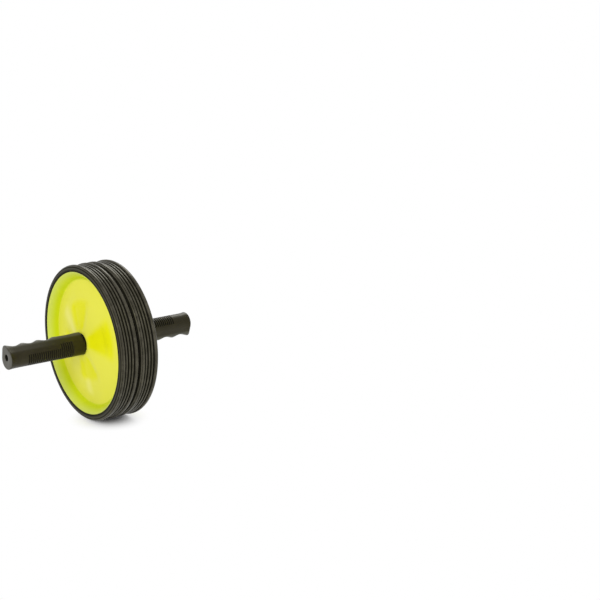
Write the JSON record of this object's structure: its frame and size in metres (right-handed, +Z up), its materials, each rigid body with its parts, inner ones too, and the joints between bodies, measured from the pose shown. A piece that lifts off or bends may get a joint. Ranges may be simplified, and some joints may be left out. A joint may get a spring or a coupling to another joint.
{
  "type": "ab wheel roller",
  "caption": "Ab roller with twin free-spinning wheels on one axle: dished lime plastic hubs, ribbed black tyres and moulded hand grips pushed onto the axle's ends.",
  "frame": {"origin": "middle of the axle, half-way between the outer ends of the two grips", "axes": "+Y along the axle towards the left grip, +X the rolling direction, +Z up"},
  "size_m": [0.1904, 0.248, 0.1904],
  "materials": {
    "lime_plastic": "glossy moulded lime plastic",
    "tyre_rubber": "matt black rubber with turned ribs",
    "grip_rubber": "satin black soft moulding with a fine grain",
    "plated_steel": "black zinc-plated steel",
    "spring_steel": "black phosphated spring steel",
    "bush_nylon": "natural white nylon",
    "spacer_plastic": "black moulded plastic"
  },
  "bodies": {
    "axle": {"axle_tube": "plated_steel", "centre_spacer": "spacer_plastic", "right_grip": "grip_rubber", "right_retaining_ring": "spring_steel", "right_thrust_washer": "plated_steel", "left_grip": "grip_rubber", "left_retaining_ring": "spring_steel", "left_thrust_washer": "plated_steel"},
    "right_wheel": {"right_tyre": "tyre_rubber", "right_hub": "lime_plastic", "right_hub_cover": "lime_plastic", "right_hub_screws": "plated_steel", "right_outer_bush": "bush_nylon", "right_inner_bush": "bush_nylon"},
    "left_wheel": {"left_tyre": "tyre_rubber", "left_hub": "lime_plastic", "left_hub_cover": "lime_plastic", "left_hub_screws": "plated_steel", "left_outer_bush": "bush_nylon", "left_inner_bush": "bush_nylon"}
  },
  "joints": [
    {"name": "right_wheel_spin", "type": "hinge", "parent": "axle", "child": "right_wheel", "pos_m": [0, -0.0118, 0], "axis": [0, 1, 0], "continuous": true},
    {"name": "left_wheel_spin", "type": "hinge", "parent": "axle", "child": "left_wheel", "pos_m": [0, 0.0148, 0], "axis": [0, 1, 0], "continuous": true}
  ]
}
